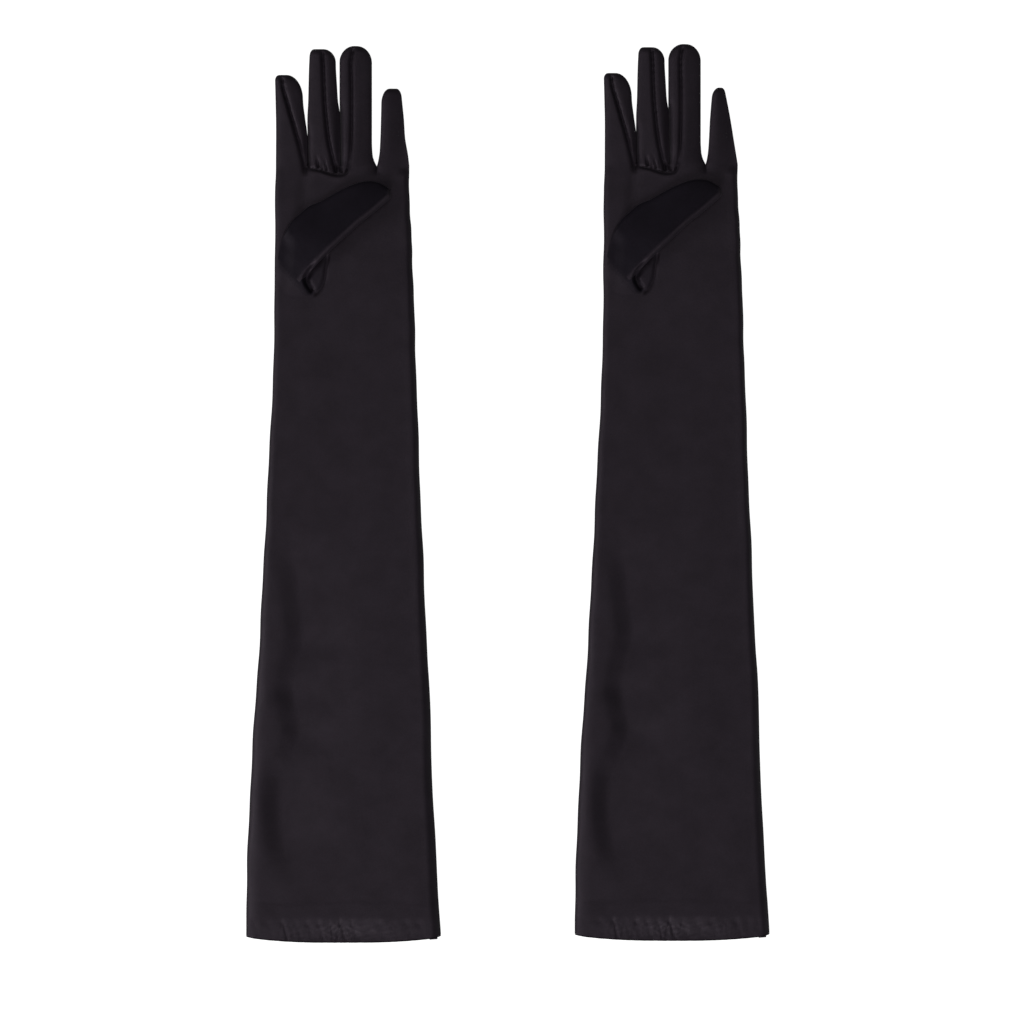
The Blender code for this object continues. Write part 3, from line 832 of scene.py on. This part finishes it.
def satin_material(name, shine):
    """Near-black satin: long floats that run along the glove, a soft sheen and slight unevenness.

    Where the attribute "across" is 1 the base colour is multiplied darker and bluer, as painted shade."""
    made, tree, shader = new_material(name)
    uv = node(tree, "UVMap", uv_map="cloth")
    threads = node(tree, "TexBrick", offset=0.4, squash=1.0)
    put(threads, Scale=1.0, Color1=(0.92, 0.92, 0.92, 1), Color2=(1, 1, 1, 1), Mortar=(0.25, 0.25, 0.25, 1),
        Mortar_Size=0.00006, Mortar_Smooth=1.0, Brick_Width=0.0012, Row_Height=0.00028)
    turn = node(tree, "Mapping")
    put(turn, Rotation=(0, 0, math.pi / 2))
    link(uv, "UV", turn, "Vector")
    link(turn, "Vector", threads, "Vector")
    cloud = node(tree, "TexNoise")
    put(cloud, Scale=55.0, Detail=4.0, Roughness=0.6)
    speck = node(tree, "TexNoise")
    put(speck, Scale=900.0, Detail=2.0)
    link(uv, "UV", cloud, "Vector")
    link(uv, "UV", speck, "Vector")
    ramp = node(tree, "ValToRGB")
    for stop, position, tint in zip(ramp.color_ramp.elements, (0.3, 0.72), (0.82, 1.2)):
        stop.position = position
        stop.color = (*(c * tint for c in NEAR_BLACK), 1)
    link(cloud, "Fac", ramp, "Fac")
    tone = node(tree, "Mix", data_type="RGBA", blend_type="MULTIPLY")
    put(tone, Factor=0.35)
    link(ramp, "Color", tone, "A")
    link(threads, "Color", tone, "B")
    grain = node(tree, "Mix", data_type="RGBA", blend_type="OVERLAY")
    put(grain, Factor=0.25)
    link(tone, "Result", grain, "A")
    link(speck, "Fac", grain, "B")
    # Painted shade: the attribute "across" multiplies the base colour by a dark bluish grey.
    turned = node(tree, "Attribute", attribute_name="across")
    painted_shade_multiply = node(tree, "Mix", data_type="RGBA", blend_type="MULTIPLY")
    put(painted_shade_multiply, B=(0.52, 0.55, 0.62, 1))
    link(turned, "Fac", painted_shade_multiply, "Factor")
    link(grain, "Result", painted_shade_multiply, "A")
    link(painted_shade_multiply, "Result", shader, "Base Color")
    put(shader, Specular_IOR_Level=shine)
    rough = node(tree, "MapRange")
    put(rough, To_Min=0.44, To_Max=0.56)
    link(cloud, "Fac", rough, "Value")
    link(rough, "Result", shader, "Roughness")
    weave = node(tree, "Bump")
    put(weave, Strength=0.35, Distance=0.00006)
    link(threads, "Fac", weave, "Height")
    weave.invert = True
    crumple = node(tree, "Bump")
    put(crumple, Strength=0.5, Distance=0.0006)
    link(cloud, "Fac", crumple, "Height")
    link(weave, "Normal", crumple, "Normal")
    link(crumple, "Normal", shader, "Normal")
    put(shader, Specular_Tint=(1.0, 0.84, 1.0, 1), Sheen_Weight=0.03, Sheen_Roughness=0.4,
        Sheen_Tint=(0.85, 0.78, 0.9, 1))
    return made


def thread_material():
    """Black polyester thread, with its twist."""
    made, tree, shader = new_material("black_thread")
    twist = node(tree, "TexWave", bands_direction="DIAGONAL")
    put(twist, Scale=900.0)
    place = node(tree, "TexCoord")
    link(place, "Object", twist, "Vector")
    ramp = node(tree, "ValToRGB")
    ramp.color_ramp.elements[0].color = (0.006, 0.005, 0.007, 1)
    ramp.color_ramp.elements[1].color = (0.020, 0.018, 0.021, 1)
    link(twist, "Fac", ramp, "Fac")
    link(ramp, "Color", shader, "Base Color")
    ridge = node(tree, "Bump")
    put(ridge, Strength=0.4, Distance=0.00005)
    link(twist, "Fac", ridge, "Height")
    link(ridge, "Normal", shader, "Normal")
    put(shader, Roughness=0.42, Specular_IOR_Level=0.35, Sheen_Weight=0.1)
    return made


def floor_material():
    made, _, shader = new_material("white_sweep")
    put(shader, Base_Color=(0.35, 0.35, 0.35, 1), Roughness=0.9, Specular_IOR_Level=0.0,
        Emission_Color=(1, 1, 1, 1), Emission_Strength=0.96)
    return made


def glove_origin(name):
    low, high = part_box(f"{name}_upper_sleeve")
    return (low.x + high.x) / 2 / MM, low.y / MM


def at(origin, x, y, z):
    return Vector(((origin[0] + x) * MM, (origin[1] + y) * MM, z * MM))


def bend(origin, start, end):
    return at(origin, 0, start, 0), at(origin, 0, end, 0)


def place_panels(glove, made):
    """Bakes each panel's placement into its mesh, and hides the CAD nodes it stands for."""
    name = glove.name
    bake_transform(made["upper_sleeve"])
    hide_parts(f"{name}_upper_sleeve")
    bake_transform(made["forearm_and_palm"])
    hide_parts(f"{name}_forearm_sleeve", f"{name}_hand_trank")
    for panel, obj in made.items():
        finger = panel.split("_")[0]
        if finger in FINGERS:
            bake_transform(obj)
            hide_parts(f"{name}_{panel}")


def make_thumb(glove, origin, materials):
    grid = thumb_grid(glove)
    rows, ring = grid.shape[:2]
    points = grid.reshape(-1, 3)
    faces = [*ring_faces(rows, ring), tuple(range(len(points) - ring, len(points)))]
    d = points[:, :2] - THUMB_START
    uv = np.stack((d @ THUMB_ACROSS, d @ THUMB_ALONG), axis=1)
    obj = add_mesh(f"{glove.name}_thumb_cloth", points, faces, origin, materials["across"], uv)
    p, s = thumb_frame(points[:, 0], points[:, 1])
    # a painted highlight along the fold's crest, where the painted shade is lifted
    ridge = bump(s - curve(THUMB_FOLD, p) - 0.9, 1.6)
    set_painted_shade(obj.data, thumb_painted_shade(p, s) * (1 - ridge), faces, materials)
    keep_border_sharp(obj.data)
    thicken(obj)
    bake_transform(obj)
    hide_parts(f"{glove.name}_thumb", f"{glove.name}_thumb_seam")
    return obj


def strip_faces(rows, columns, closed=False):
    """Faces between neighbouring rows of points."""
    nexts = [*range(1, columns), 0] if closed else range(1, columns)
    return [
        (r * columns + k, r * columns + n, (r + 1) * columns + n, (r + 1) * columns + k)
        for r in range(rows - 1)
        for k, n in enumerate(nexts)
    ]


def ring_faces(rows, ring):
    return strip_faces(rows, ring, closed=True)


def thread_tube(path, radius, sides=6, closed=False):
    """A round thread along a line of points."""
    path = np.asarray(path, float)
    along = np.roll(path, -1, axis=0) - np.roll(path, 1, axis=0)
    if not closed:
        along[0], along[-1] = path[1] - path[0], path[-1] - path[-2]
    along /= np.linalg.norm(along, axis=1)[:, None]
    up = np.where(np.abs(along[:, 2:]) < 0.8, np.array((0.0, 0.0, 1.0)), np.array((1.0, 0.0, 0.0)))
    side = np.cross(along, up)
    side /= np.linalg.norm(side, axis=1)[:, None]
    other = np.cross(side, along)
    angle = np.arange(sides) * 2 * math.pi / sides
    ring = np.cos(angle)[None, :, None] * side[:, None] + np.sin(angle)[None, :, None] * other[:, None]
    points = (path[:, None] + radius * ring).reshape(-1, 3)
    faces = [tuple(f[::-1]) for f in ring_faces(len(path), sides)]
    if closed:
        last = (len(path) - 1) * sides
        faces += [(last + k, k, (k + 1) % sides, last + (k + 1) % sides) for k in range(sides)]
    else:
        faces += [tuple(range(sides)), tuple(range(len(points) - 1, len(points) - 1 - sides, -1))]
    return points, faces


def make_hem(glove, trank, normals, origin, materials):
    """The turned-in hem: its rolled edge, the layer inside, and the blind stitches that hold it."""
    rows = trank_rows()
    count = int(np.searchsorted(rows, HEM_TURN + 0.01))
    ring = trank.shape[1]
    first, out = trank[0], normals[:ring]
    roll = ((0.02, -0.32), (0.18, -0.44), (0.46, -0.44), (0.62, -0.24))
    layers = [first - out * inset + np.array((0, dy, 0)) for inset, dy in roll]
    inner = normals.reshape(-1, ring, 3)[:count]
    layers += list(trank[:count] - inner * 0.62)
    points = np.concatenate(layers)
    faces = ring_faces(len(layers), ring)
    facing = add_mesh(f"{glove.name}_hem_facing_cloth", points, faces, origin, materials["satin"])
    keep_border_sharp(facing.data)
    thicken(facing, 0.3)
    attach(facing, f"{glove.name}_upper_arm")
    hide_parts(f"{glove.name}_hem_facing")
    edge, edge_normal = trank[count - 1], inner[-1]
    path = []
    length = 0.0
    for k in range(ring):
        nearer = edge[k] - edge_normal[k] * 1.06 + np.array((0, -1.0, 0))
        further = edge[k] - edge_normal[k] * 0.75 + np.array((0, 1.1, 0))
        step = edge[k] - edge[k - 1] if k else np.zeros(3)
        length += float(np.linalg.norm(step))
        wave = 0.5 - 0.5 * math.cos(length * 2 * math.pi / STITCH_PITCH)
        path.append(nearer + (further - nearer) * wave)
    points, faces = thread_tube(path, THREAD_RADIUS, closed=True)
    stitch = add_mesh(f"{glove.name}_hem_blind_stitch", points, faces, origin, materials["thread"])
    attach(stitch, f"{glove.name}_upper_arm")


def allowance(glove, name, start, end, width, origin, materials):
    """A length of the side seam's two turned-in edges, and the overlock thread round their free edge."""
    y = rows_between(start, end, 1.3)
    if start > CROTCH_Y:
        right = glove.finger_edges("little", y)[2]
    else:
        _, right = glove.edges(y)
    across = np.linspace(0, 1, 6)[None, :]
    x = (right - ALLOWANCE_INSET)[:, None] - width * across
    sway = 0.45 * np.sin(y / 6.1 + glove.seed)[:, None] * across
    z = 1.5 + 1.3 * across + sway + 0.2 * np.sin(y / 2.7)[:, None] * across**2
    yy = np.repeat(y[:, None], 6, axis=1)
    points = np.stack((x, yy, z + 0.4), axis=-1).reshape(-1, 3)
    faces = [f[::-1] for f in strip_faces(len(y), 6)]
    cloth = add_mesh(f"{glove.name}_{name}_allowance", points, faces, origin, materials["satin"])
    thicken(cloth, 0.8)
    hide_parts(f"{glove.name}_{name}")
    turns = int((end - start) / OVERLOCK_PITCH)
    t = np.linspace(0, 1, turns * 10 + 1)
    angle = t * turns * 2 * math.pi
    at_y = start + 1.0 + (end - start - 2.0) * t
    free_x = np.interp(at_y, y, x[:, -1])
    free_z = np.interp(at_y, y, z[:, -1])
    path = np.stack((free_x + 0.5 + 1.25 * np.cos(angle), at_y, free_z + 0.66 * np.sin(angle)), axis=-1)
    points, faces = thread_tube(path, THREAD_RADIUS - 0.01, sides=5)
    thread = add_mesh(f"{glove.name}_{name}_overlock", points, faces, origin, materials["thread"])
    return cloth, thread


def make_allowances(glove, origin, materials):
    bodies = ("upper_arm", "forearm", "hand", "little")
    arm, forearm, hand, little = (f"{glove.name}_{body}" for body in bodies)
    seams = (
        ("upper_side_seam", 0.8, SLEEVE_SPLIT_Y - 0.2, 4.6, (arm, forearm, *bend(origin, *ELBOW_BEND))),
        ("forearm_side_seam", SLEEVE_SPLIT_Y + 0.2, 352, 4.6, None),
        ("hand_side_seam", 352.4, CROTCH_Y - 2, 4.2, (forearm, hand, *bend(origin, *WRIST_BEND))),
        ("little_side_seam", CROTCH_Y + 2, 514, 3.4, (hand, little, *bend(origin, *KNUCKLE_BEND))),
    )
    for name, start, end, width, blended in seams:
        for obj in allowance(glove, name, start, end, width, origin, materials):
            if blended is None:
                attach(obj, forearm)
            else:
                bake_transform(obj)


def make_thumb_hole_seam(glove, origin, materials):
    """The oval seam's turned-in edges, under the palm's cloth."""
    line = glove.hole
    ahead = np.roll(line, -1, axis=0) - np.roll(line, 1, axis=0)
    out = np.stack((ahead[:, 1], -ahead[:, 0]), axis=1)
    out /= np.linalg.norm(out, axis=1)[:, None]
    centre = line.mean(axis=0)
    if ((line - centre) * out).sum() < 0:
        out = -out
    rows = []
    for reach in (0.2, 0.9, 1.6, 2.3):
        place = line + out * reach
        left, right = glove.edges(place[:, 1])
        x = np.maximum(place[:, 0], left + 1.2)
        top = glove.plain_top(x, place[:, 1], left, right)
        rows.append(np.stack((x, place[:, 1], np.minimum(top, 6.2) - 2.0), axis=-1))
    points = np.concatenate(rows)
    name = f"{glove.name}_thumb_hole_allowance"
    cloth = add_mesh(name, points, ring_faces(4, len(line)), origin, materials["satin"])
    thicken(cloth, 0.5)
    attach(cloth, f"{glove.name}_hand")
    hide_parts(f"{glove.name}_thumb_hole_seam")


def declare_sheets(glove):
    """Works out the flat widths of the fingers' panels and of the thumb from the flat glove's outline, and
    keeps none of them.
    """
    name = glove.name

    def seam(place):
        return [f"{name}_{place}_side_seam_{kind}" for kind in ("allowance", "overlock")]

    rows = trank_rows()
    left, right = glove.edges(rows)
    for finger in FINGERS:
        y = rows_between(CROTCH_Y, glove.fingers[finger]["tip"][0], 1.0)
        top, back = (np.diff(finger_columns(glove, finger, y, side), axis=1) for side in ("top", "back"))
        widths, panels = np.hstack((top, back[:, ::-1])), np.array(panel_edges(finger))
        for panel in dict.fromkeys(panels.tolist()):
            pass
    along = rows_between(THUMB_FOLD[0][0], THUMB_FOLD[-1][0], 1.0)
    doubled = 2 * (curve(THUMB_CURVED_EDGE, along) - curve(THUMB_FOLD, along))


def make_glove(name, seed, pinched, materials):
    glove = Glove(name, seed, pinched)
    origin = glove_origin(name)
    points, faces, panels = make_whole(glove)
    normals = normals_of(points, faces)
    made = split_panels(glove, points, faces, panels, normals, origin, materials)
    place_panels(glove, made)
    thumb = make_thumb(glove, origin, materials)
    trank, _ = trank_grid(glove)
    make_hem(glove, trank, normals[: trank.shape[0] * trank.shape[1]], origin, materials)
    make_allowances(glove, origin, materials)
    make_thumb_hole_seam(glove, origin, materials)
    declare_sheets(glove)


def softbox(name, place, size, power):
    """A soft light that faces the gloves."""
    light = bpy.data.lights.new(name, "AREA")
    light.shape = "RECTANGLE"
    light.size, light.size_y = size
    light.energy = power
    obj = add_object(name, light)
    obj.location = place
    obj.rotation_euler = (-Vector(place)).to_track_quat("-Z", "Y").to_euler()


def make_stage():
    mesh = bpy.data.meshes.new("floor")
    corners = [(x * FLOOR_REACH, y * FLOOR_REACH, FLOOR_Z) for x, y in ((-1, -1), (1, -1), (1, 1), (-1, 1))]
    mesh.from_pydata(corners, [], [(0, 1, 2, 3)])
    floor = add_object("floor", mesh)
    floor.data.materials.append(floor_material())
    # The floor's own glow stays off the cloth, whose outline is dark.
    floor.visible_diffuse = False
    floor.visible_glossy = False
    world = bpy.data.worlds.new("studio")
    world.use_nodes = True
    world.node_tree.nodes["Background"].inputs["Color"].default_value = (1, 1, 1, 1)
    world.node_tree.nodes["Background"].inputs["Strength"].default_value = 0.16
    bpy.context.scene.world = world
    softbox("key", (-0.3, -2.5, 1.4), (1.0, 0.8), 52)
    softbox("left", (-2.4, -0.3, 1.0), (0.8, 0.6), 26)
    softbox("overhead", (0.3, 0.4, 2.4), (1.6, 1.6), 7)
    bpy.context.scene.view_settings.view_transform = "Standard"
    bpy.context.scene.view_settings.look = "None"


def make_camera():
    data = bpy.data.cameras.new("camera")
    data.lens = 85
    data.sensor_width = 36
    camera = add_object("camera", data)
    seen = 0.6292  # metres across the picture, at the cloth's height
    distance = seen / 2 / (data.sensor_width / 2 / data.lens)
    camera.location = (0.0026, -0.0115, distance + 0.006)
    camera.rotation_euler = (0, 0, 0)
    bpy.context.scene.camera = camera


# The two darker copies of the satin, with less shine, carry painted shade.
materials = {
    "satin": satin_material("black_satin", 0.2),
    "painted_half_shade": satin_material("black_satin_painted_half_shade", 0.15),
    "across": satin_material("black_satin_painted_shade", 0.095),
    "thread": thread_material(),
}
make_stage()
make_camera()
make_glove("glove1", 1.0, False, materials)
make_glove("glove2", 1.7, True, materials)
